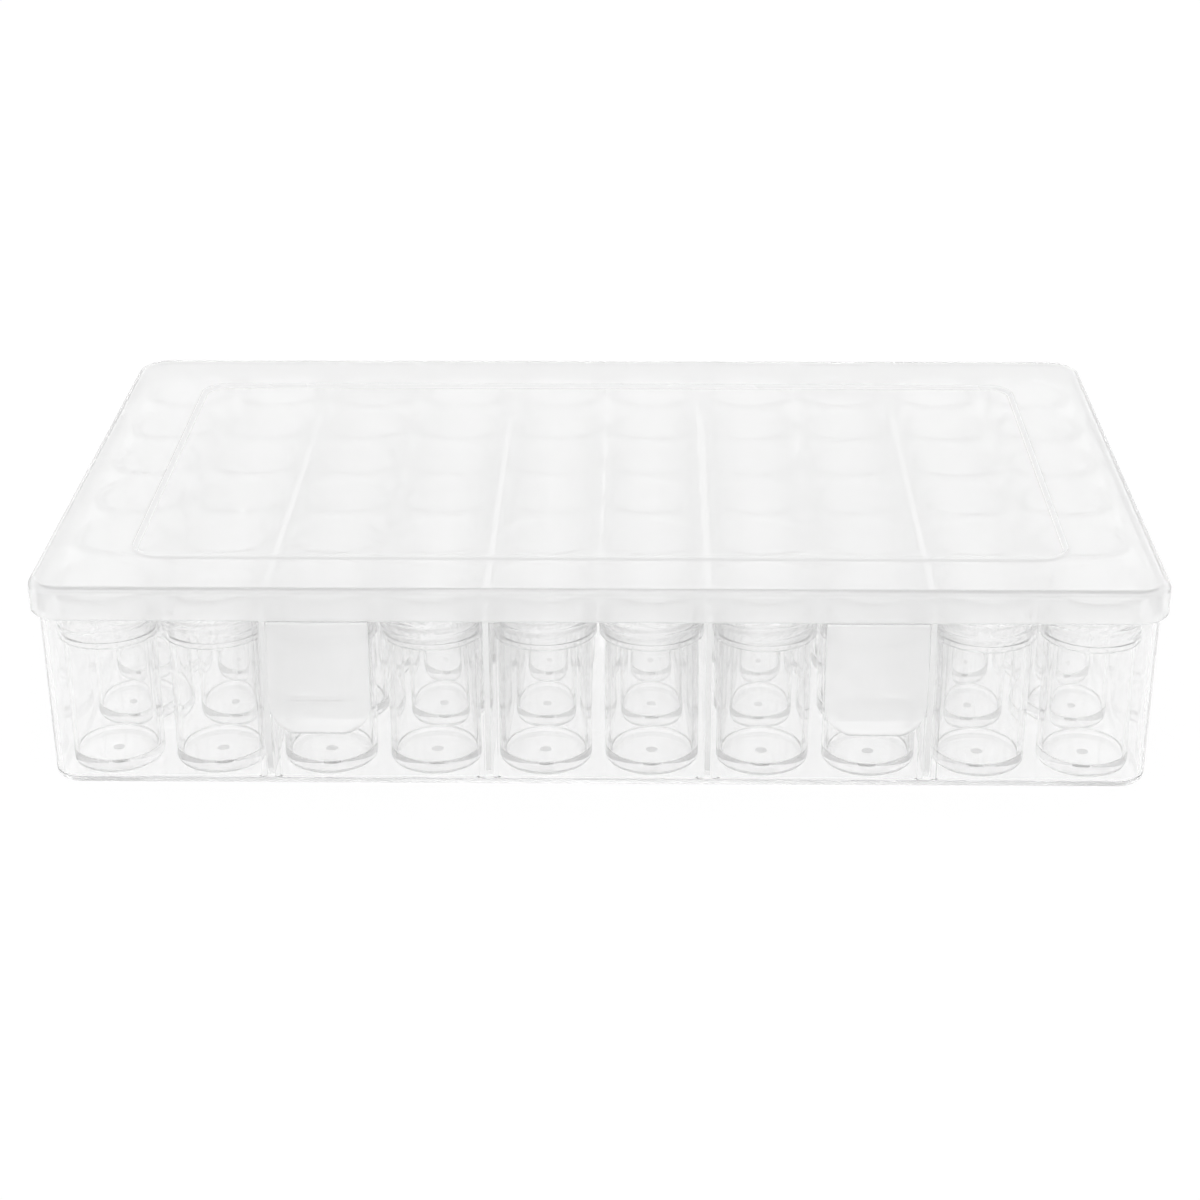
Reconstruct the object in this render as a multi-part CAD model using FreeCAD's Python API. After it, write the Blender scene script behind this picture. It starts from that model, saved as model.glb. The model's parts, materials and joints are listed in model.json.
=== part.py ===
import FreeCAD, Part
import math
import os

from FreeCAD import Vector

# Clear bead storage organizer: a hinged case with 60 screw-top jars in 5 bays.
# Millimetres, +Z up. The origin is the middle of the case's underside, the front is -Y
# and +X is to the right of someone facing the front.

# Jar grid
bays = 5
jars_per_bay = 2
rows = 6

# Screw cap
cap_diameter = 26.2
cap_height = 13.2
cap_top_thickness = 1.3
cap_wall = 1.15
cap_edge_chamfer = 0.6
cap_panel_recess = 0.35
cap_panel_margin = 2.4

# Jar
jar_body_diameter = 23.4
jar_height = 47.0
jar_wall = 1.5
jar_floor = 2.2
jar_heel_chamfer = 1.4
jar_inner_floor_chamfer = 1.0
jar_neck_step = 0.5
jar_shoulder_above_cap_rim = 1.1
jar_liner_gap = 0.3
jar_gate_radius = 1.5
jar_gate_depth = 0.5

# Gaps that let the jars be lifted out
cap_to_cap_gap = 0.5
cap_to_divider_gap = 0.3
cap_row_gap = 1.35
cap_to_wall_gap = 0.6
cap_to_lid_gap = 2.3

# Dividers and the ribs that hold them
divider_thickness = 1.4
divider_slot_gap = 0.4
divider_end_gap = 0.3
divider_below_cap_top = 0.4
divider_top_round = 6.0
divider_foot_chamfer = 2.6
slot_rib_thickness = 1.3
slot_rib_reach = 2.4
slot_rib_below_rim = 4.0
slot_rib_lead_in = 1.6

# Case base
base_wall = 1.4
base_floor = 1.6
base_draft_deg = 0.8
base_corner_radius = 7.0
base_edge_round = 2.5
base_inner_edge_round = 1.1

# Lid
lid_thickness = 1.5
lid_skirt_thickness = 1.5
lid_skirt_drop = 8.7
lid_skirt_gap = 0.5
lid_rim_gap = 0.3
lid_edge_round = 2.0
lid_inner_edge_round = 0.8
lid_skirt_edge_round = 0.9
panel_margin = 22.5
panel_depth = 1.0
panel_slope = 0.9
panel_corner_radius = 7.0

# Rear hinge: bored ears on the base carry stub pins on the lid's knuckles
hinge_spacing = 137.0
knuckle_length = 20.0
knuckle_radius = 2.4
knuckle_end_gap = 0.3
ear_thickness = 3.0
ear_radius = 2.6
stub_radius = 1.3
stub_clearance = 0.08
stub_length = 2.5
hinge_wall_gap = 0.8
hinge_below_skirt = 3.0
lid_open_deg = 110.0
heel_stop_gap = 0.12
heel_root_deg = 72.0

# Snap latches that hang from the front of the lid on a living hinge
latch_spacing = 137.0
latch_width = 25.0
latch_length = 28.2
latch_thickness = 1.2
latch_corner_radius = 7.0
latch_bead_radius = 0.6
latch_hinge_gap = 0.08
latch_rest_deg = 3.0
hook_width = 17.0
hook_reach = 0.9
hook_height = 2.2
hook_land = 0.8
hook_below_hinge = 20.5
catch_height = 1.6
catch_width = 19.0
catch_gap = 0.2
lip_height = 3.6
lip_reach = 1.4
lip_tip_thickness = 1.0
lip_back_height = 1.1

# How far a cutting shape runs past what it cuts, and how flat an edge must lie to count
cut_overrun = 1.0
flatness = 1e-4

# Places worked out from the sizes above
draft = math.tan(math.radians(base_draft_deg))
bay_width = (jars_per_bay * cap_diameter + (jars_per_bay - 1) * cap_to_cap_gap
             + 2 * cap_to_divider_gap)
bay_pitch = bay_width + divider_thickness
row_pitch = cap_diameter + cap_row_gap
cap_pitch = cap_diameter + cap_to_cap_gap

screwed_height = jar_height + jar_liner_gap + cap_top_thickness
cap_rim_z = base_floor + screwed_height - cap_height
cap_top_z = base_floor + screwed_height
panel_under_z = cap_top_z + cap_to_lid_gap
lid_under_z = panel_under_z + panel_depth
lid_top_z = lid_under_z + lid_thickness
skirt_bottom_z = lid_top_z - lid_skirt_drop
base_rim_z = lid_under_z - lid_rim_gap

inner_width_at_caps = bays * bay_pitch - divider_thickness
inner_depth_at_caps = (rows * cap_diameter + (rows - 1) * cap_row_gap
                       + 2 * cap_to_wall_gap)
skirt_offset = base_wall + lid_skirt_gap + lid_skirt_thickness
lid_width = (inner_width_at_caps + 2 * draft * (base_rim_z - cap_rim_z)
             + 2 * skirt_offset)
lid_depth = (inner_depth_at_caps + 2 * draft * (base_rim_z - cap_rim_z)
             + 2 * skirt_offset)
lid_corner_radius = base_corner_radius + lid_skirt_gap + lid_skirt_thickness


def base_half_width(z):
    """Half of the base's outer width at height z, where the wall leans outwards."""
    return inner_width_at_caps / 2 + base_wall + draft * (z - cap_rim_z)


def base_half_depth(z):
    """Half of the base's outer depth at height z."""
    return inner_depth_at_caps / 2 + base_wall + draft * (z - cap_rim_z)


def bay_centre(bay):
    """X of the middle of a bay, counted from 0 at the left."""
    return (bay - (bays - 1) / 2) * bay_pitch


def divider_centre(index):
    """X of the middle of a divider, counted from 0 at the left."""
    return (index - (bays - 2) / 2) * bay_pitch


def jar_x(bay, place):
    """X of a jar's axis in a bay."""
    return bay_centre(bay) + (place - (jars_per_bay - 1) / 2) * cap_pitch


def jar_y(row):
    """Y of a jar's axis, with row 0 at the front."""
    return (row - (rows - 1) / 2) * row_pitch


# The lid turns about the rear hinge axis, and a latch about the middle of its flap's top
hinge_z = skirt_bottom_z - hinge_below_skirt
hinge_y = base_half_depth(hinge_z) + hinge_wall_gap + knuckle_radius
latch_y = -(lid_depth / 2 - latch_thickness / 2)
latch_z = skirt_bottom_z - latch_bead_radius - latch_hinge_gap


def rounded_rectangle(half_x, half_y, radius, z):
    """A closed wire: a rectangle about the origin with round corners, at height z."""
    edges = []
    corner_x = half_x - radius
    corner_y = half_y - radius
    corners = [(corner_x, corner_y), (-corner_x, corner_y),
               (-corner_x, -corner_y), (corner_x, -corner_y)]
    for index, (x, y) in enumerate(corners):
        start = index * 90
        arc = Part.makeCircle(radius, Vector(x, y, z), Vector(0, 0, 1), start, start + 90)
        next_x, next_y = corners[(index + 1) % 4]
        leave = math.radians(start + 90)
        first = Vector(x + radius * math.cos(leave), y + radius * math.sin(leave), z)
        last = Vector(next_x + radius * math.cos(leave), next_y + radius * math.sin(leave), z)
        edges.append(arc)
        edges.append(Part.makeLine(first, last))
    return Part.Wire(edges)


def plate(half_x, half_y, radius, low_z, high_z):
    """A flat slab with round corners between two heights."""
    face = Part.Face(rounded_rectangle(half_x, half_y, radius, low_z))
    return face.extrude(Vector(0, 0, high_z - low_z))


def edges_at(shape, z):
    """The edges that lie wholly in the horizontal plane at z."""
    return [edge for edge in shape.Edges
            if abs(edge.BoundBox.ZMin - z) < flatness and abs(edge.BoundBox.ZMax - z) < flatness]


def turned(outline):
    """A solid of revolution about Z from a closed outline of (radius, height) points."""
    corners = [Vector(radius, 0, height) for radius, height in outline]
    face = Part.Face(Part.makePolygon(corners + corners[:1]))
    return face.revolve(Vector(0, 0, 0), Vector(0, 0, 1), 360)


def prism_along_x(points, low_x, high_x):
    """Extrude a closed outline of (y, z) points along X."""
    corners = [Vector(low_x, y, z) for y, z in points]
    face = Part.Face(Part.makePolygon(corners + corners[:1]))
    return face.extrude(Vector(high_x - low_x, 0, 0))


def rod_along_x(radius, low_x, high_x, y, z):
    """A round rod along X."""
    return Part.makeCylinder(radius, high_x - low_x, Vector(low_x, y, z), Vector(1, 0, 0))


def make_base():
    """Open tray with leaning walls, divider slots, catch ridges and hinge ears."""
    outer = Part.makeLoft([
        rounded_rectangle(base_half_width(0), base_half_depth(0), base_corner_radius, 0),
        rounded_rectangle(base_half_width(base_rim_z), base_half_depth(base_rim_z),
                          base_corner_radius, base_rim_z)], True, True)
    outer = outer.makeFillet(base_edge_round, edges_at(outer, 0))
    over_rim = base_rim_z + cut_overrun
    inner_radius = base_corner_radius - base_wall
    inner = Part.makeLoft([
        rounded_rectangle(base_half_width(base_floor) - base_wall,
                          base_half_depth(base_floor) - base_wall, inner_radius, base_floor),
        rounded_rectangle(base_half_width(over_rim) - base_wall,
                          base_half_depth(over_rim) - base_wall, inner_radius, over_rim)],
        True, True)
    inner = inner.makeFillet(base_inner_edge_round, edges_at(inner, base_floor))
    tray = outer.cut(inner)
    added = []
    for index in range(bays - 1):
        added += slot_ribs(divider_centre(index))
    for side in (-1, 1):
        added.append(catch_ridge(side * latch_spacing / 2))
        added += hinge_ears(side * hinge_spacing / 2)
    return tray.multiFuse(added).removeSplitter()


def slot_ribs(x):
    """Two pairs of upright ribs, on the front and the rear wall, that hold one divider."""
    ribs = []
    offset = divider_thickness / 2 + divider_slot_gap
    top = base_rim_z - slot_rib_below_rim
    root = base_wall / 2
    low = base_half_depth(base_floor) - base_wall
    high = base_half_depth(top) - base_wall
    for wall in (-1, 1):
        outline = [(wall * (low + root), base_floor / 2),
                   (wall * (low - slot_rib_reach), base_floor / 2),
                   (wall * (high - slot_rib_reach), top - slot_rib_lead_in),
                   (wall * (high - slot_rib_reach + slot_rib_lead_in), top),
                   (wall * (high + root), top)]
        for side in (-1, 1):
            near = x + side * offset
            far = near + side * slot_rib_thickness
            ribs.append(prism_along_x(outline, min(near, far), max(near, far)))
    return ribs


def catch_ridge(x):
    """Ridge on the front wall that the latch hook snaps under."""
    foot_z = latch_z - hook_below_hinge + catch_gap
    head_z = foot_z + catch_height
    face = lid_depth / 2 - latch_thickness - catch_gap
    wall = base_half_depth(foot_z) - base_wall / 2
    slope = face - base_half_depth(head_z)
    outline = [(-wall, foot_z), (-face, foot_z), (-face, head_z - slope / 2),
               (-(face - slope), head_z + slope / 2), (-wall, head_z + slope / 2)]
    return prism_along_x(outline, x - catch_width / 2, x + catch_width / 2)


def hinge_ears(x):
    """Two bored ears behind the rear wall, one at each end of a knuckle."""
    ears = []
    wall = base_half_depth(hinge_z) - base_wall / 2
    web_foot_z = hinge_z - 3 * ear_radius
    web = [(wall, hinge_z + ear_radius), (hinge_y, hinge_z + ear_radius),
           (hinge_y, hinge_z - ear_radius), (wall, web_foot_z)]
    reach = knuckle_length / 2 + knuckle_end_gap
    for side in (-1, 1):
        near = x + side * reach
        far = near + side * ear_thickness
        low = min(near, far)
        high = max(near, far)
        eye = rod_along_x(ear_radius, low, high, hinge_y, hinge_z)
        bore = rod_along_x(stub_radius + stub_clearance, low - cut_overrun,
                           high + cut_overrun, hinge_y, hinge_z)
        ears.append(prism_along_x(web, low, high).fuse(eye).cut(bore))
    return ears


def make_lid():
    """Overlapping lid with a sunk panel and two knuckles at the rear."""
    half_x = lid_width / 2
    half_y = lid_depth / 2
    shell = plate(half_x, half_y, lid_corner_radius, skirt_bottom_z, lid_top_z)
    shell = shell.makeFillet(lid_edge_round, edges_at(shell, lid_top_z))
    shell = shell.makeFillet(lid_skirt_edge_round, edges_at(shell, skirt_bottom_z))
    hollow = plate(half_x - lid_skirt_thickness, half_y - lid_skirt_thickness,
                   lid_corner_radius - lid_skirt_thickness,
                   skirt_bottom_z - cut_overrun, lid_under_z)
    hollow = hollow.makeFillet(lid_inner_edge_round, edges_at(hollow, lid_under_z))
    panel_x = half_x - panel_margin
    panel_y = half_y - panel_margin
    pad = Part.makeLoft([
        rounded_rectangle(panel_x, panel_y, panel_corner_radius, panel_under_z),
        rounded_rectangle(panel_x + panel_slope, panel_y + panel_slope,
                          panel_corner_radius + panel_slope, lid_under_z)], True, True)
    flare = panel_slope * cut_overrun / panel_depth
    sunk = Part.makeLoft([
        rounded_rectangle(panel_x - panel_slope, panel_y - panel_slope,
                          panel_corner_radius - panel_slope, lid_top_z - panel_depth),
        rounded_rectangle(panel_x + flare, panel_y + flare,
                          panel_corner_radius + flare, lid_top_z + cut_overrun)], True, True)
    lid = shell.cut(hollow).fuse(pad).cut(sunk)
    knuckles = [knuckle(side * hinge_spacing / 2) for side in (-1, 1)]
    return lid.multiFuse(knuckles).removeSplitter()


def knuckle(x):
    """Barrel with a stub pin at each end, hung from the rear skirt, and its stop heel."""
    low = x - knuckle_length / 2
    high = x + knuckle_length / 2
    skirt_outer = lid_depth / 2
    skirt_inner = skirt_outer - lid_skirt_thickness
    arm_top_z = skirt_bottom_z + 2 * lid_skirt_edge_round
    arm_root_z = (skirt_bottom_z + hinge_z) / 2
    arm_back = knuckle_radius * math.sin(math.radians(45))
    barrel = rod_along_x(knuckle_radius, low, high, hinge_y, hinge_z)
    stubs = rod_along_x(stub_radius, low - stub_length, high + stub_length, hinge_y, hinge_z)
    arm = prism_along_x([
        (skirt_inner, arm_top_z), (skirt_outer, arm_top_z),
        (hinge_y + arm_back, hinge_z + arm_back), (hinge_y, hinge_z),
        (skirt_inner, arm_root_z)], low, high)
    return barrel.multiFuse([stubs, arm, stop_heel(low, high)])


def stop_heel(low_x, high_x):
    """Nose on the barrel that meets the rear wall when the lid is fully open."""
    reach = hinge_wall_gap + knuckle_radius - heel_stop_gap
    middle = math.radians(180 + lid_open_deg)
    half_root = math.radians(heel_root_deg / 2)
    tip = (hinge_y + reach * math.cos(middle), hinge_z + reach * math.sin(middle))
    roots = []
    for turn in (-half_root, half_root):
        roots.append((hinge_y + knuckle_radius * math.cos(middle + turn),
                      hinge_z + knuckle_radius * math.sin(middle + turn)))
    return prism_along_x([(hinge_y, hinge_z), roots[0], tip, roots[1]], low_x, high_x)


def make_latch(x):
    """Flap with a hinge bead, a hook behind and a finger lip, hanging just off its catch."""
    outer = latch_y - latch_thickness / 2
    inner = latch_y + latch_thickness / 2
    foot = latch_z - latch_length
    hook_top = latch_z - hook_below_hinge
    hook_foot = hook_top - hook_height
    half = latch_width / 2
    lip_face = outer - lip_reach
    side_view = prism_along_x([
        (outer, latch_z), (inner, latch_z), (inner, foot + lip_back_height),
        (lip_face + lip_tip_thickness, foot), (lip_face, foot), (outer, foot + lip_height)],
        x - half, x + half)
    front_view = front_outline(x, half, foot)
    flap = side_view.common(front_view.extrude(Vector(0, inner - lip_face, 0)))
    bead = rod_along_x(latch_bead_radius, x - half, x + half, latch_y, latch_z)
    hook = prism_along_x([
        (latch_y, hook_top), (inner + hook_reach, hook_top),
        (inner + hook_reach, hook_top - hook_land), (inner, hook_foot), (latch_y, hook_foot)],
        x - hook_width / 2, x + hook_width / 2)
    latch = flap.multiFuse([bead, hook]).removeSplitter()
    latch.rotate(Vector(x, latch_y, latch_z), Vector(-1, 0, 0), latch_rest_deg)
    return latch


def front_outline(x, half, foot):
    """Front view of a latch: square at the hinge, with two large round corners below."""
    radius = latch_corner_radius
    y = latch_y - latch_thickness / 2 - lip_reach
    left = x - half
    right = x + half
    bend_z = foot + radius
    towards_front = Vector(0, -1, 0)
    edges = [
        Part.makeLine(Vector(left, y, latch_z), Vector(left, y, bend_z)),
        Part.makeCircle(radius, Vector(left + radius, y, bend_z), towards_front, 180, 270),
        Part.makeLine(Vector(left + radius, y, foot), Vector(right - radius, y, foot)),
        Part.makeCircle(radius, Vector(right - radius, y, bend_z), towards_front, 270, 360),
        Part.makeLine(Vector(right, y, bend_z), Vector(right, y, latch_z)),
        Part.makeLine(Vector(right, y, latch_z), Vector(left, y, latch_z))]
    return Part.Face(Part.Wire(Part.__sortEdges__(edges)))


def make_divider(index):
    """Loose plate that slides down between two pairs of slot ribs."""
    low_z = base_floor
    high_z = cap_top_z - divider_below_cap_top
    low = base_half_depth(low_z) - base_wall - divider_end_gap
    high = base_half_depth(high_z) - base_wall - divider_end_gap
    outline = [(-low + divider_foot_chamfer, low_z), (low - divider_foot_chamfer, low_z),
               (low, low_z + divider_foot_chamfer), (high, high_z),
               (-high, high_z), (-low, low_z + divider_foot_chamfer)]
    x = divider_centre(index)
    divider = prism_along_x(outline, x - divider_thickness / 2, x + divider_thickness / 2)
    top_corners = [edge for edge in divider.Edges
                   if edge.BoundBox.ZMin > high_z - flatness and edge.BoundBox.YLength < flatness]
    return divider.makeFillet(divider_top_round, top_corners)


def make_jar(x, y):
    """Straight clear jar with a thick floor, a gate dimple and a stepped-in neck."""
    outer = jar_body_diameter / 2
    bore = outer - jar_wall
    neck = outer - jar_neck_step
    shoulder = screwed_height - cap_height + jar_shoulder_above_cap_rim
    jar = turned([
        (0, jar_gate_depth), (jar_gate_radius, 0),
        (outer - jar_heel_chamfer, 0), (outer, jar_heel_chamfer),
        (outer, shoulder), (neck, shoulder), (neck, jar_height), (bore, jar_height),
        (bore, jar_floor + jar_inner_floor_chamfer),
        (bore - jar_inner_floor_chamfer, jar_floor), (0, jar_floor)])
    jar.translate(Vector(x, y, base_floor))
    return jar


def make_cap(x, y):
    """Screw cap: a shallow cup over the neck, with a slightly sunk top."""
    outer = cap_diameter / 2
    bore = outer - cap_wall
    panel = outer - cap_panel_margin
    under = cap_height - cap_top_thickness
    cap = turned([
        (0, under), (bore, under), (bore, 0), (outer, 0),
        (outer, cap_height - cap_edge_chamfer), (outer - cap_edge_chamfer, cap_height),
        (panel, cap_height), (panel, cap_height - cap_panel_recess),
        (0, cap_height - cap_panel_recess)])
    cap.translate(Vector(x, y, cap_rim_z))
    return cap


def export(name, solids):
    """Write one node, which is one solid or a group of like solids."""
    shape = solids[0] if len(solids) == 1 else Part.makeCompound(solids)
    shape.exportStep("parts/" + name + ".step")


def export_jars():
    """Jars and caps: the front row one by one, each row behind it as one group."""
    places = [(bay, place) for bay in range(bays) for place in range(jars_per_bay)]
    for number, (bay, place) in enumerate(places, 1):
        export("jar_front_%02d" % number, [make_jar(jar_x(bay, place), jar_y(0))])
        export("cap_front_%02d" % number, [make_cap(jar_x(bay, place), jar_y(0))])
    for row in range(1, rows):
        jars = [make_jar(jar_x(bay, place), jar_y(row)) for bay, place in places]
        caps = [make_cap(jar_x(bay, place), jar_y(row)) for bay, place in places]
        export("jars_row%d" % (row + 1), jars)
        export("caps_row%d" % (row + 1), caps)


os.makedirs("parts", exist_ok=True)
export("case_base", [make_base()])
export("case_lid", [make_lid()])
export("latch_left", [make_latch(-latch_spacing / 2)])
export("latch_right", [make_latch(latch_spacing / 2)])
for divider in range(bays - 1):
    export("divider_%d" % (divider + 1), [make_divider(divider)])
export_jars()
print("lid %.2f x %.2f, top at %.2f" % (lid_width, lid_depth, lid_top_z))
print("lid hinge axis y %.3f z %.3f" % (hinge_y, hinge_z))
print("latch hinge axis y %.3f z %.3f" % (latch_y, latch_z))
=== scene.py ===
import bmesh
import bpy
import json
import math

from mathutils import Matrix, Vector


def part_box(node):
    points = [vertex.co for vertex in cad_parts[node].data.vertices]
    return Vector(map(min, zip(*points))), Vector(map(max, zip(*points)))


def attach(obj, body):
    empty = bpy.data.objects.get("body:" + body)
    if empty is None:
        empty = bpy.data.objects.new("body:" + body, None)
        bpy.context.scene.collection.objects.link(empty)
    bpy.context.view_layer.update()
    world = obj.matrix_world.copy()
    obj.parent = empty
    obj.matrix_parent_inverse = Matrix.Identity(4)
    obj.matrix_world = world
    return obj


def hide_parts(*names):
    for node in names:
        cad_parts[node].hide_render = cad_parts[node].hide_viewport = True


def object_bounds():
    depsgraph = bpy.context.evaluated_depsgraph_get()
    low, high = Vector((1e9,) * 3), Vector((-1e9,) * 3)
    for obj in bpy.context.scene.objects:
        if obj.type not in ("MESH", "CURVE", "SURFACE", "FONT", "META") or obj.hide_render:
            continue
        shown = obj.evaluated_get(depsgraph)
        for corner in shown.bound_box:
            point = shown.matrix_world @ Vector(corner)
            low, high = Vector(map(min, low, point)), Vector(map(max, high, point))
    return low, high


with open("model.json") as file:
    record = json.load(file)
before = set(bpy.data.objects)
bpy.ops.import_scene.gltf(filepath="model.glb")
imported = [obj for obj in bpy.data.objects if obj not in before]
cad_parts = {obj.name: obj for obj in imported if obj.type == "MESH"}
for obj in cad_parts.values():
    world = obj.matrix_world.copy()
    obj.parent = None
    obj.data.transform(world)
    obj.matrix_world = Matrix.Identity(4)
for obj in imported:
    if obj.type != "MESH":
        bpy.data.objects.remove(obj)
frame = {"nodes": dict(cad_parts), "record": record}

cad_low, cad_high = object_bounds()

# Case base. One open tray of clear crystal polystyrene, injection moulded in one shot with its
# divider ribs, catch ridges and hinge ears. Its walls lean out so that it leaves the mould,
# which polishes them, and the melt leaves faint flow waves behind the gloss.
mm = 0.001
weld_gap = 0.002 * mm
sharp_edge_deg = 32
mould_edge_round = 0.35 * mm
eased_edge_deg = 30
air_gap = 0.04 * mm


def linear(hex_colour):
    """An sRGB hex colour as the linear RGBA that shaders take."""
    parts = [int(hex_colour[i:i + 2], 16) / 255 for i in (1, 3, 5)]
    return [c / 12.92 if c <= 0.04045 else ((c + 0.055) / 1.055) ** 2.4 for c in parts] + [1.0]


def add(tree, kind, settings=None, inputs=None):
    """Add one node, set its properties, then fill or link its inputs by name or number."""
    node = tree.nodes.new(kind)
    for name, value in (settings or {}).items():
        setattr(node, name, value)
    for name, value in (inputs or {}).items():
        if isinstance(value, bpy.types.NodeSocket):
            tree.links.new(value, node.inputs[name])
        else:
            node.inputs[name].default_value = value
    return node


def clear_moulding(name, colour, shadow_tint, clearness, within, gloss, ior, wave, wave_height):
    """Transparent moulded plastic: polished, with flow waves, and open to the lamps behind it.

    clearness is for light that comes in, within for light that is already in the plastic.
    """
    material = bpy.data.materials.new(name)
    material.use_nodes = True
    tree = material.node_tree
    tree.nodes.clear()
    place = add(tree, "ShaderNodeTexCoord")
    waves = add(tree, "ShaderNodeTexNoise", None, {
        "Vector": place.outputs["Object"], "Scale": 1 / wave, "Detail": 1.5, "Roughness": 0.4})
    ripple = add(tree, "ShaderNodeBump", None, {
        "Strength": 1.0, "Distance": wave_height, "Height": waves.outputs[0]})
    scuffs = add(tree, "ShaderNodeMapRange", None, {
        "Value": waves.outputs[0], 1: 0.35, 2: 0.65, 3: gloss * 0.7, 4: gloss * 1.3})
    side = add(tree, "ShaderNodeNewGeometry")
    haze_outside = add(tree, "ShaderNodeMapRange", None, {
        "Value": side.outputs["Backfacing"], 3: clearness, 4: within})
    plastic = add(tree, "ShaderNodeBsdfPrincipled", None, {
        "Base Color": linear(colour), "Roughness": scuffs.outputs[0], "IOR": ior,
        "Transmission Weight": haze_outside.outputs[0], "Normal": ripple.outputs[0]})
    open_to_lamps = add(tree, "ShaderNodeBsdfTransparent", None, {"Color": linear(shadow_tint)})
    path = add(tree, "ShaderNodeLightPath")
    mixed = add(tree, "ShaderNodeMixShader", None, {
        0: path.outputs["Is Shadow Ray"], 1: plastic.outputs[0], 2: open_to_lamps.outputs[0]})
    add(tree, "ShaderNodeOutputMaterial", None, {"Surface": mixed.outputs[0]})
    return material


def plain(piece):
    """Turn a piece and its modifiers into a plain mesh of its own."""
    bpy.context.view_layer.update()
    seen = piece.evaluated_get(bpy.context.evaluated_depsgraph_get())
    mesh = bpy.data.meshes.new_from_object(seen)
    mesh.name = piece.name
    piece.modifiers.clear()
    piece.data = mesh
    return piece


def even_normals(piece):
    """Keep flat walls flat to the eye where they run into a round edge."""
    piece.data.shade_smooth()
    piece.data.set_sharp_from_angle(angle=math.radians(sharp_edge_deg))
    weighing = piece.modifiers.new("even", "WEIGHTED_NORMAL")
    weighing.keep_sharp = True
    return plain(piece)


def new_piece(name, mesh, material):
    """Link a finished mesh into the scene as a piece of one material."""
    mesh.materials.clear()
    mesh.materials.append(material)
    piece = bpy.data.objects.new(name, mesh)
    bpy.context.scene.collection.objects.link(piece)
    return piece


def moulded_copy(node, name, material, eased_heights=()):
    """A welded copy of a construction part, with the sharp edges at some heights eased."""
    shell = bmesh.new()
    shell.from_mesh(frame["nodes"][node].data)
    bmesh.ops.remove_doubles(shell, verts=shell.verts, dist=weld_gap)
    bmesh.ops.dissolve_limit(shell, angle_limit=math.radians(0.2), verts=shell.verts,
                             edges=shell.edges)
    sharp = [edge for edge in shell.edges if edge.calc_face_angle(0) > math.radians(eased_edge_deg)
             and any(abs(edge.verts[0].co.z - height) < weld_gap
                     and abs(edge.verts[1].co.z - height) < weld_gap
                     for height in eased_heights)]
    bmesh.ops.bevel(shell, geom=sharp, offset=mould_edge_round, offset_type="OFFSET",
                    segments=3, profile=0.5, affect="EDGES", clamp_overlap=True)
    mesh = bpy.data.meshes.new(name)
    shell.to_mesh(mesh)
    shell.free()
    piece = even_normals(new_piece(name, mesh, material))
    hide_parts(node)
    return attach(piece, piece_body[node])


piece_body = {node: body for body, nodes in frame["record"]["behaviour"]["bodies"].items()
              for node in nodes}

# Injection moulded crystal polystyrene. It gives hard, colourless, glassy walls.
crystal_polystyrene = clear_moulding(
    "crystal_polystyrene_polished", "#FFFFFF", "#FEFEFE", 0.94, 0.97, 0.03, 1.55, 22 * mm,
    0.004 * mm)
base = moulded_copy("case_base", "case_base_tray", crystal_polystyrene)

# The same plastic, made matt and half clear on the round bottom edge, which so shows pale and
# soft and not as a dark line: painted light, standing in for the light line that the edge's
# refraction gives.
foot_height = 2.4 * mm
foot_lean_low, foot_lean_high = -0.98, -0.05
painted_light_foot = clear_moulding(
    "crystal_polystyrene_worn_foot", "#FFFFFF", "#FEFEFE", 0.55, 0.93, 0.2, 1.55, 22 * mm,
    0.004 * mm)
base.data.materials.append(painted_light_foot)
for face in base.data.polygons:
    leans_out = foot_lean_low < face.normal.z < foot_lean_high
    face.material_index = int(face.center.z < foot_height and leans_out)

# Dividers. Four loose sheets of the same clear polystyrene, which slide down between the ribs
# and part the case into five bays. Their edges show as grey bars from the front.
# The flat faces are faintly hazy, so a row of sheets seen end on greys what is behind it.
divider_sheet = clear_moulding(
    "polystyrene_divider_sheet", "#FBFBFB", "#FEFEFE", 0.78, 0.98, 0.05, 1.55, 30 * mm, 0.005 * mm)
# The narrow edges pass most of the light and scatter the rest, which gives the grey bars.
sheet_edge = clear_moulding(
    "polystyrene_sheet_edge", "#FFFFFF", "#FEFEFE", 0.70, 0.97, 0.10, 1.55, 3 * mm, 0.005 * mm)
for number in range(1, 5):
    divider = moulded_copy(f"divider_{number}", f"divider_sheet_{number}", divider_sheet)
    divider.data.materials.append(sheet_edge)
    divider.data.transform(Matrix.Translation((0, 0, air_gap)))
    for face in divider.data.polygons:
        face.material_index = int(abs(face.normal.x) < 0.5)

# Jars. Sixty straight jars of clear polystyrene, each moulded in one shot with a thick floor,
# a gate dimple under it, a round heel and a neck with a thread of one and a quarter turns.
# The thick floor and heel gather the light into a dark ring, as a lens does.
jar_low, jar_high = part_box("jar_front_01")
cap_low, cap_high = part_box("cap_front_01")
jar_radius = (jar_high.x - jar_low.x) / 2
jar_height = jar_high.z - jar_low.z
jar_wall = 1.5 * mm
jar_floor = 3.4 * mm
jar_heel_round = 1.6 * mm
jar_inner_round = 0.4 * mm
neck_step = 0.5 * mm
lip_round = 0.4 * mm
shoulder_round = 0.35 * mm
shoulder_height = cap_low.z - jar_low.z + 1.1 * mm
gate_radius = 1.5 * mm
gate_depth = 0.5 * mm
thread_pitch = 3.0 * mm
thread_turns = 1.25
neck_thread_height = 0.34 * mm
neck_thread_start = shoulder_height + 3.2 * mm
thread_half_width = 0.85 * mm
thread_band = thread_pitch * thread_turns + 2 * thread_half_width
thread_ring_step = 0.3 * mm
jar_sides = 80
arc_steps = 6


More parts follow.
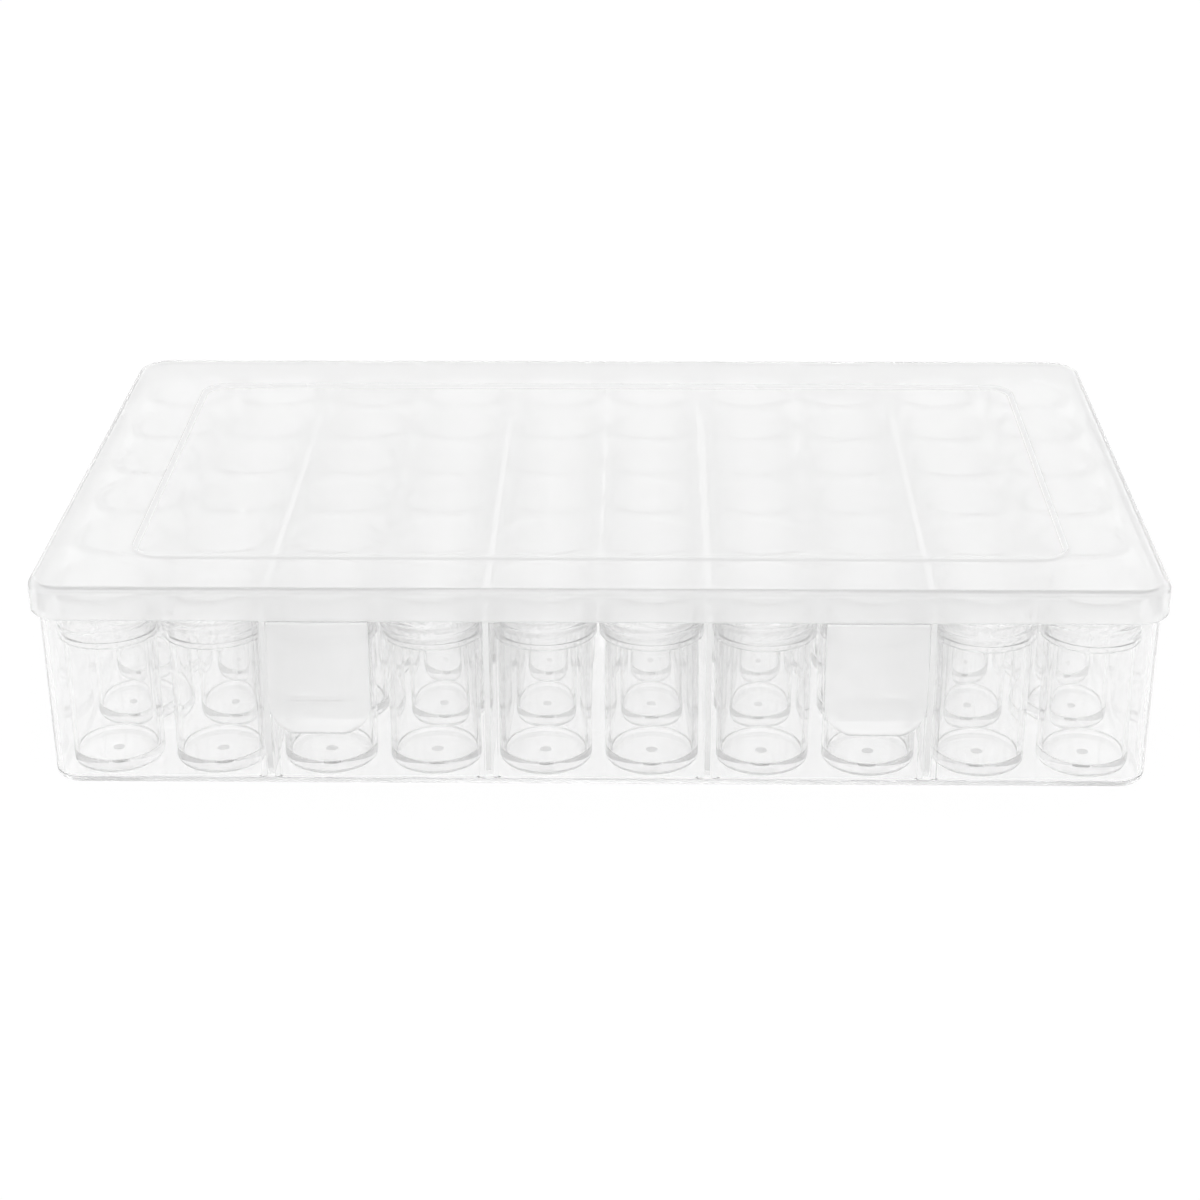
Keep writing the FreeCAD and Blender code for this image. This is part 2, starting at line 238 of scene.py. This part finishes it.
def rounded_outline(corners):
    """Points along an outline of (radius, height, round) corners, each rounded by an arc."""
    points = []
    count = len(corners)
    for index, (r, z, bend) in enumerate(corners):
        here = Vector((r, z))
        if bend == 0:
            points.append(here)
            continue
        before = (Vector(corners[index - 1][:2]) - here).normalized()
        after = (Vector(corners[(index + 1) % count][:2]) - here).normalized()
        half = before.angle(after) / 2
        centre = here + (before + after).normalized() * (bend / math.sin(half))
        start = here + before * (bend / math.tan(half)) - centre
        end = here + after * (bend / math.tan(half)) - centre
        for step in range(arc_steps + 1):
            share = step / arc_steps
            points.append(centre + (start * (1 - share) + end * share).normalized() * bend)
    return points


def with_rings(points, low, high):
    """Add rings to the upright stretch of an outline that carries a thread."""
    ringed = []
    for index, here in enumerate(points):
        there = points[(index + 1) % len(points)]
        ringed.append(here)
        spans_band = min(here.y, there.y) <= low and max(here.y, there.y) >= high
        if abs(here.x - there.x) < weld_gap and spans_band:
            rings = round((high - low) / thread_ring_step)
            heights = [low + (high - low) * ring / rings for ring in range(rings + 1)]
            if there.y < here.y:
                heights.reverse()
            ringed += [Vector((here.x, height)) for height in heights]
    return ringed


def thread_rise(angle, height, start):
    """How far the thread's ridge stands out of the wall here, as a share of its full height."""
    rise = 0.0
    for turn in range(math.ceil(thread_turns) + 1):
        along = angle / (2 * math.pi) + turn
        if along <= thread_turns:
            off = abs(height - start - thread_pitch * along) / thread_half_width
            ease = min(1.0, along * 12, (thread_turns - along) * 12)
            rise = max(rise, ease * max(0.0, 1 - off ** 2))
    return rise


def lathe(name, points, sides, thread_radius, thread_height, thread_start, marked_ring):
    """Revolve an outline about Z and raise a thread on the rings at thread_radius.

    Faces at the gate and near marked_ring (radius, height, reach) carry the mark attribute.
    """
    shell = bmesh.new()
    rings = []
    for point in points:
        if point.x < weld_gap:
            rings.append([shell.verts.new((0, 0, point.y))])
            continue
        ring = []
        for side in range(sides):
            angle = 2 * math.pi * side / sides
            radius = point.x
            if abs(radius - thread_radius) < weld_gap:
                radius += thread_height * thread_rise(angle, point.y, thread_start)
            ring.append(shell.verts.new((radius * math.cos(angle), radius * math.sin(angle),
                                         point.y)))
        rings.append(ring)
    for lower, upper in zip(rings, rings[1:] + rings[:1]):
        for side in range(sides):
            after = (side + 1) % sides
            corners = [lower[side % len(lower)], lower[after % len(lower)],
                       upper[after % len(upper)], upper[side % len(upper)]]
            corners = list(dict.fromkeys(corners))
            if len(corners) > 2:
                shell.faces.new(corners)
    bmesh.ops.recalc_face_normals(shell, faces=shell.faces)
    mark = shell.faces.layers.int.new("mark")
    for face in shell.faces:
        centre = face.calc_center_median()
        in_gate = max(corner.co.xy.length for corner in face.verts) < gate_radius + weld_gap
        in_corner = abs(centre.xy.length - marked_ring.x) < marked_ring.z and abs(
            centre.z - marked_ring.y) < marked_ring.z
        face[mark] = 2 if in_gate else int(in_corner)
    mesh = bpy.data.meshes.new(name)
    shell.to_mesh(mesh)
    shell.free()
    return mesh


def grid_layout():
    """Node tree that sets one turned piece out in a row across the bays, each turned at random."""
    tree = bpy.data.node_groups.new("row_across_the_bays", "GeometryNodeTree")
    tree.interface.new_socket("Geometry", in_out="INPUT", socket_type="NodeSocketGeometry")
    sockets = [("Turned piece", "Object"), ("Material", "Material"),
               ("Mark material", "Material"), ("Gate material", "Material"), ("Bays", "Int"),
               ("Jars per bay", "Int"), ("Bay pitch", "Float"), ("Jar pitch", "Float"),
               ("Row place", "Vector"), ("Seed", "Int")]
    for name, kind in sockets:
        tree.interface.new_socket(name, in_out="INPUT", socket_type="NodeSocket" + kind)
    tree.interface.new_socket("Geometry", in_out="OUTPUT", socket_type="NodeSocketGeometry")
    given = add(tree, "NodeGroupInput").outputs

    def maths(operation, a, b):
        return add(tree, "ShaderNodeMath", {"operation": operation}, {0: a, 1: b}).outputs[0]

    index = add(tree, "GeometryNodeInputIndex").outputs[0]
    bay = maths("FLOOR", maths("DIVIDE", index, given["Jars per bay"]), 0.0)
    place = maths("MODULO", index, given["Jars per bay"])
    from_middle_bay = maths("SUBTRACT", bay, maths("MULTIPLY", maths(
        "SUBTRACT", given["Bays"], 1.0), 0.5))
    from_middle_jar = maths("SUBTRACT", place, maths("MULTIPLY", maths(
        "SUBTRACT", given["Jars per bay"], 1.0), 0.5))
    across = maths("ADD", maths("MULTIPLY", from_middle_bay, given["Bay pitch"]),
                   maths("MULTIPLY", from_middle_jar, given["Jar pitch"]))
    offset = add(tree, "ShaderNodeCombineXYZ", None, {"X": across})
    spot = add(tree, "ShaderNodeVectorMath", {"operation": "ADD"}, {
        0: offset.outputs[0], 1: given["Row place"]})
    points = add(tree, "GeometryNodePoints", None, {
        "Count": maths("MULTIPLY", given["Bays"], given["Jars per bay"]),
        "Position": spot.outputs[0]})
    turned = add(tree, "FunctionNodeRandomValue", {"data_type": "FLOAT_VECTOR"}, {
        0: (0, 0, 0), 1: (0, 0, 2 * math.pi), "Seed": given["Seed"]})
    piece = add(tree, "GeometryNodeObjectInfo", None, {"Object": given["Turned piece"]})
    row = add(tree, "GeometryNodeInstanceOnPoints", None, {
        "Points": points.outputs[0], "Instance": piece.outputs["Geometry"],
        "Rotation": turned.outputs[0]})
    real = add(tree, "GeometryNodeRealizeInstances", None, {"Geometry": row.outputs[0]})
    painted = add(tree, "GeometryNodeSetMaterial", None, {
        "Geometry": real.outputs[0], "Material": given["Material"]})
    marked_faces = add(tree, "GeometryNodeInputNamedAttribute", {"data_type": "INT"}, {
        "Name": "mark"})
    marked = add(tree, "GeometryNodeSetMaterial", None, {
        "Geometry": painted.outputs[0], "Selection": marked_faces.outputs[0],
        "Material": given["Mark material"]})
    in_gate = maths("GREATER_THAN", marked_faces.outputs[0], 1.5)
    gated = add(tree, "GeometryNodeSetMaterial", None, {
        "Geometry": marked.outputs[0], "Selection": in_gate,
        "Material": given["Gate material"]})
    add(tree, "NodeGroupOutput", None, {"Geometry": gated.outputs[0]})
    return tree


def lay_row(name, pattern, material, mark_material, gate_material, row_place, seed):
    """One row of ten turned pieces across the case, as a plain mesh."""
    piece = new_piece(name, bpy.data.meshes.new(name), material)
    layout = piece.modifiers.new("layout", "NODES")
    layout.node_group = row_across
    sizes = {"Turned piece": pattern, "Material": material, "Mark material": mark_material,
             "Gate material": gate_material,
             "Bays": bays, "Jars per bay": jars_per_bay, "Bay pitch": bay_pitch,
             "Jar pitch": jar_pitch, "Row place": row_place, "Seed": seed}
    for item in row_across.interface.items_tree:
        if item.item_type == "SOCKET" and item.in_out == "INPUT" and item.name in sizes:
            layout[item.identifier] = sizes[item.name]
    return even_normals(plain(piece))


def centre_of(node):
    """The middle of a construction part's box in plan, at the height of its underside."""
    low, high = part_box(node)
    return Vector(((low.x + high.x) / 2, (low.y + high.y) / 2, low.z))


bays = 5
jars_per_bay = 2
rows = 6
jar_pitch = centre_of("jar_front_02").x - centre_of("jar_front_01").x
bay_pitch = centre_of("jar_front_03").x - centre_of("jar_front_01").x
row_across = grid_layout()

jar_bore = jar_radius - jar_wall
neck_radius = jar_radius - neck_step
jar_outline = with_rings(rounded_outline([
    (0, gate_depth, 0), (gate_radius, 0, 0), (jar_radius, 0, jar_heel_round),
    (jar_radius, shoulder_height, shoulder_round), (neck_radius, shoulder_height, 0),
    (neck_radius, jar_height, lip_round), (jar_bore, jar_height, lip_round),
    (jar_bore, jar_floor, jar_inner_round), (0, jar_floor, 0)]),
    neck_thread_start - thread_half_width, neck_thread_start - thread_half_width + thread_band)
# The faces at the floor's inner corner are marked for the painted shade ring, and those of the
# gate for the torn gate.
jar_pattern = bpy.data.objects.new("jar_pattern", lathe(
    "jar_pattern", jar_outline, jar_sides, neck_radius, neck_thread_height, neck_thread_start,
    Vector((jar_bore, jar_floor, jar_inner_round))))
# The clearest plastic of all, polished by the mould, with flow waves at the scale of the wall.
jar_polystyrene = clear_moulding(
    "jar_polystyrene_polished", "#FFFFFF", "#FEFEFE", 0.97, 0.985, 0.015, 1.50, 14 * mm, 0.01 * mm)
# A matt ring where the core meets the floor, which draws the floor as a crisp ellipse. It is
# painted shade:
# a matt line in place of the thin dark line that refraction at the floor's round inner corner
# gives. The mould's real grain of a few hundredths of a millimetre is drawn at 1 mm, so that it
# shows.
painted_shade_ring = clear_moulding(
    "jar_polystyrene_mould_marks", "#FEFEFE", "#FEFEFE", 0.85, 0.99, 0.4, 1.50, 1 * mm, 0.03 * mm)
# The torn stub of the gate, a small greyish spot in the middle of each floor.
torn_gate = clear_moulding(
    "jar_polystyrene_torn_gate", "#F0F0F0", "#FEFEFE", 0.45, 0.9, 0.5, 1.50, 1 * mm, 0.03 * mm)
for row in range(1, rows + 1):
    nodes = [f"jars_row{row}"] if row > 1 else [f"jar_front_{n:02d}" for n in range(1, 11)]
    low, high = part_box(nodes[0])
    row_place = Vector((0, (low.y + high.y) / 2, low.z + air_gap))
    jars = lay_row(f"jars_row_{row}", jar_pattern, jar_polystyrene, painted_shade_ring, torn_gate,
                   row_place, row)
    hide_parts(*nodes)
    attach(jars, "case")

# Screw caps. Sixty caps of slightly hazy clear polypropylene, a shallow cup each, with a slightly
# sunk top and a thread inside. The front row's caps turn on their jars, one body each.
cap_radius = (cap_high.x - cap_low.x) / 2
cap_height = cap_high.z - cap_low.z
cap_wall = 1.15 * mm
cap_top = 1.3 * mm
cap_edge_round = 0.9 * mm
cap_rim_round = 0.35 * mm
cap_inner_round = 0.5 * mm
cap_recess = 0.35 * mm
cap_recess_margin = 2.4 * mm
cap_recess_slope = 0.3 * mm
cap_thread_height = -0.30 * mm
cap_thread_start = 2.0 * mm

cap_bore = cap_radius - cap_wall
cap_panel = cap_radius - cap_recess_margin
cap_under = cap_height - cap_top
cap_outline = with_rings(rounded_outline([
    (0, cap_under, 0), (cap_bore, cap_under, cap_inner_round), (cap_bore, 0, cap_rim_round),
    (cap_radius, 0, cap_rim_round), (cap_radius, cap_height, cap_edge_round),
    (cap_panel, cap_height, 0), (cap_panel - cap_recess_slope, cap_height - cap_recess, 0),
    (0, cap_height - cap_recess, 0)]),
    cap_thread_start - thread_half_width, cap_thread_start - thread_half_width + thread_band)
cap_mesh = lathe("cap_pattern", cap_outline, jar_sides, cap_bore, cap_thread_height,
                 cap_thread_start, Vector((0, 0, 0)))
cap_pattern = bpy.data.objects.new("cap_pattern", cap_mesh)
# Polypropylene is a shade milkier than the jars, so the threads under it look soft.
cap_polypropylene = clear_moulding(
    "cap_polypropylene_hazy", "#FFFFFF", "#FEFEFE", 0.93, 0.99, 0.05, 1.50, 12 * mm, 0.01 * mm)
for row in range(2, rows + 1):
    low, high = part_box(f"caps_row{row}")
    row_place = Vector((0, (low.y + high.y) / 2, low.z))
    caps = lay_row(f"screw_caps_row_{row}", cap_pattern, cap_polypropylene, cap_polypropylene,
                   cap_polypropylene, row_place, 20 + row)
    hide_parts(f"caps_row{row}")
    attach(caps, "case")
for number in range(1, 11):
    mesh = cap_mesh.copy()
    turn = Matrix.Rotation(math.radians(137.5 * number), 4, "Z")
    mesh.transform(Matrix.Translation(centre_of(f"cap_front_{number:02d}")) @ turn)
    cap = even_normals(new_piece(f"screw_cap_{number:02d}", mesh, cap_polypropylene))
    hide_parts(f"cap_front_{number:02d}")
    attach(cap, f"cap_{number:02d}")

# Lid. One shallow tray of clear polypropylene, moulded upside down with its sunk panel, skirt
# and the two knuckles of the rear hinge. Its top is slightly hazy, so the caps under it are soft.
# Moulded polypropylene with a light haze, which hides all but the faintest rows of caps.
lid_polypropylene = clear_moulding(
    "lid_polypropylene_hazy", "#FDFDFD", "#FDFDFD", 0.44, 0.93, 0.06, 1.50, 40 * mm, 0.01 * mm)
lid_low, lid_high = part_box("case_lid")
lid_panel_depth = 1.0 * mm
lid = moulded_copy("case_lid", "case_lid_shell", lid_polypropylene,
                   (lid_high.z, lid_high.z - lid_panel_depth))

# The step round the sunk panel is made matt and nearly opaque, so that it draws a faint pale
# outline: a painted highlight, standing in for the light that the panel's edges catch. It is told
# from the skirt by its distance from the lid's edge.
lid_border = 10 * mm
step_lean = 0.97
painted_highlight_step = clear_moulding(
    "lid_polypropylene_matt_step", "#FEFEFE", "#FDFDFD", 0.10, 0.93, 0.35, 1.50, 40 * mm,
    0.01 * mm)
lid.data.materials.append(painted_highlight_step)
lid_middle = (lid_low + lid_high) / 2
lid_reach = (lid_high - lid_low) / 2
for face in lid.data.polygons:
    away = face.center - lid_middle
    inside = abs(away.x) < lid_reach.x - lid_border and abs(away.y) < lid_reach.y - lid_border
    face.material_index = int(inside and abs(face.normal.z) < step_lean)

# Latches. Two flaps of the same polypropylene, thinner and cloudier than the lid that they hang
# from by a living hinge, with a hook behind and a finger lip below.
# The same plastic with a fine matt finish, which makes the flaps two plain pale tongues.
latch_polypropylene = clear_moulding(
    "latch_polypropylene_cloudy", "#FEFEFE", "#FDFDFD", 0.50, 0.93, 0.15, 1.50, 25 * mm, 0.02 * mm)
for side in ("left", "right"):
    latch = moulded_copy(f"latch_{side}", f"snap_latch_{side}", latch_polypropylene)

# Studio. A seamless white table and backdrop under a soft, even light, from the photograph's
# own viewpoint, a little above the front edge of the lid.
floor_half_width = 3.0
floor_depth_below = 0.1 * mm
floor_mesh = bpy.data.meshes.new("white_table")
floor_mesh.from_pydata(
    [(x * floor_half_width, y * floor_half_width, -floor_depth_below)
     for x, y in ((-1, -1), (1, -1), (1, 1), (-1, 1))], [], [(0, 1, 2, 3)])
# Matt white paper. It is pure white to the eye and behind clear plastic, and takes shadow.
table_paper = bpy.data.materials.new("matt_white_paper")
table_paper.use_nodes = True
paper = table_paper.node_tree
paper.nodes.clear()
paper_path = add(paper, "ShaderNodeLightPath")
paper_seen = add(paper, "ShaderNodeMath", {"operation": "MAXIMUM"}, {
    0: paper_path.outputs["Is Camera Ray"], 1: paper_path.outputs["Is Glossy Ray"]})
paper_seen = add(paper, "ShaderNodeMath", {"operation": "MAXIMUM"}, {
    0: paper_seen.outputs[0], 1: paper_path.outputs["Is Transmission Ray"]})
paper_glow = add(paper, "ShaderNodeMath", {"operation": "MULTIPLY"}, {
    0: paper_seen.outputs[0], 1: 0.92})
paper_matt = add(paper, "ShaderNodeBsdfDiffuse", None, {"Color": linear("#FAFAFA")})
paper_level = add(paper, "ShaderNodeMapRange", None, {
    "Value": paper_path.outputs["Is Camera Ray"], 3: 1.0, 4: 1.02})
paper_white = add(paper, "ShaderNodeEmission", None, {"Strength": paper_level.outputs[0]})
paper_both = add(paper, "ShaderNodeMixShader", None, {
    0: paper_glow.outputs[0], 1: paper_matt.outputs[0], 2: paper_white.outputs[0]})
add(paper, "ShaderNodeOutputMaterial", None, {"Surface": paper_both.outputs[0]})
table = new_piece("white_table", floor_mesh, table_paper)

studio = bpy.data.worlds.new("white_studio")
bpy.context.scene.world = studio
studio.use_nodes = True
sky = studio.node_tree
sky.nodes.clear()
sky_path = add(sky, "ShaderNodeLightPath")
sky_way = add(sky, "ShaderNodeTexCoord")
sky_parts = add(sky, "ShaderNodeSeparateXYZ", None, {0: sky_way.outputs["Generated"]})
sky_depth = add(sky, "ShaderNodeMapRange", None, {
    "Value": sky_parts.outputs["Y"], 1: -1.0, 2: 1.0, 3: 0.96, 4: 0.98})
sky_height = add(sky, "ShaderNodeMapRange", None, {
    "Value": sky_parts.outputs["Z"], 1: 0.0, 2: 1.0, 3: 0.0, 4: -0.05})
sky_side = add(sky, "ShaderNodeMath", {"operation": "ABSOLUTE"}, {0: sky_parts.outputs["X"]})
sky_side = add(sky, "ShaderNodeMapRange", None, {
    "Value": sky_side.outputs[0], 1: 0.40, 2: 1.0, 3: 0.0, 4: -0.12})
sky_tent = add(sky, "ShaderNodeMath", {"operation": "ADD"}, {
    0: sky_depth.outputs[0], 1: sky_height.outputs[0]})
sky_tent = add(sky, "ShaderNodeMath", {"operation": "ADD"}, {
    0: sky_tent.outputs[0], 1: sky_side.outputs[0]})
sky_level = add(sky, "ShaderNodeMapRange", None, {
    "Value": sky_path.outputs["Is Camera Ray"], 3: sky_tent.outputs[0], 4: 1.0})
sky_light = add(sky, "ShaderNodeBackground", None, {
    "Color": linear("#FFFFFF"), "Strength": sky_level.outputs[0]})
add(sky, "ShaderNodeOutputWorld", None, {"Surface": sky_light.outputs[0]})


def soft_lamp(name, place, target, size, watts):
    """A square soft box that looks at a point."""
    light = bpy.data.lights.new(name, "AREA")
    light.size = size
    light.energy = watts
    lamp = bpy.data.objects.new(name, light)
    bpy.context.scene.collection.objects.link(lamp)
    lamp.location = place
    lamp.rotation_euler = (Vector(target) - Vector(place)).to_track_quat("-Z", "Y").to_euler()
    return lamp


middle = (cad_low + cad_high) / 2
soft_lamp("top_soft_box", (0.0, -0.1, 1.6), middle, 0.35, 2.4)

sensor_width = 36.0
photo_width = 1200
focal_pixels = 2655.5
camera_place = Vector((0.01252, -0.67341, 0.31526))
camera_down = math.radians(24.086)
camera_yaw = math.radians(-1.147)
camera_roll = math.radians(-0.248)

lens = bpy.data.cameras.new("photo_camera")
lens.sensor_width = sensor_width
lens.lens = focal_pixels / photo_width * sensor_width
lens.clip_start = 0.01
lens.clip_end = 20.0
camera = bpy.data.objects.new("photo_camera", lens)
bpy.context.scene.collection.objects.link(camera)
ahead = Vector((math.sin(camera_yaw) * math.cos(camera_down),
                math.cos(camera_yaw) * math.cos(camera_down), -math.sin(camera_down)))
level_right = Vector((math.cos(camera_yaw), -math.sin(camera_yaw), 0))
level_up = level_right.cross(ahead)
right = level_right * math.cos(camera_roll) + level_up * math.sin(camera_roll)
up = level_up * math.cos(camera_roll) - level_right * math.sin(camera_roll)
facing = Matrix((right, up, -ahead)).transposed().to_4x4()
camera.matrix_world = Matrix.Translation(camera_place) @ facing
bpy.context.scene.camera = camera

bpy.context.scene.view_settings.view_transform = "Standard"
cycles = bpy.context.scene.cycles
cycles.max_bounces = 128
cycles.transmission_bounces = 128
cycles.glossy_bounces = 128
cycles.diffuse_bounces = 16
cycles.transparent_max_bounces = 96
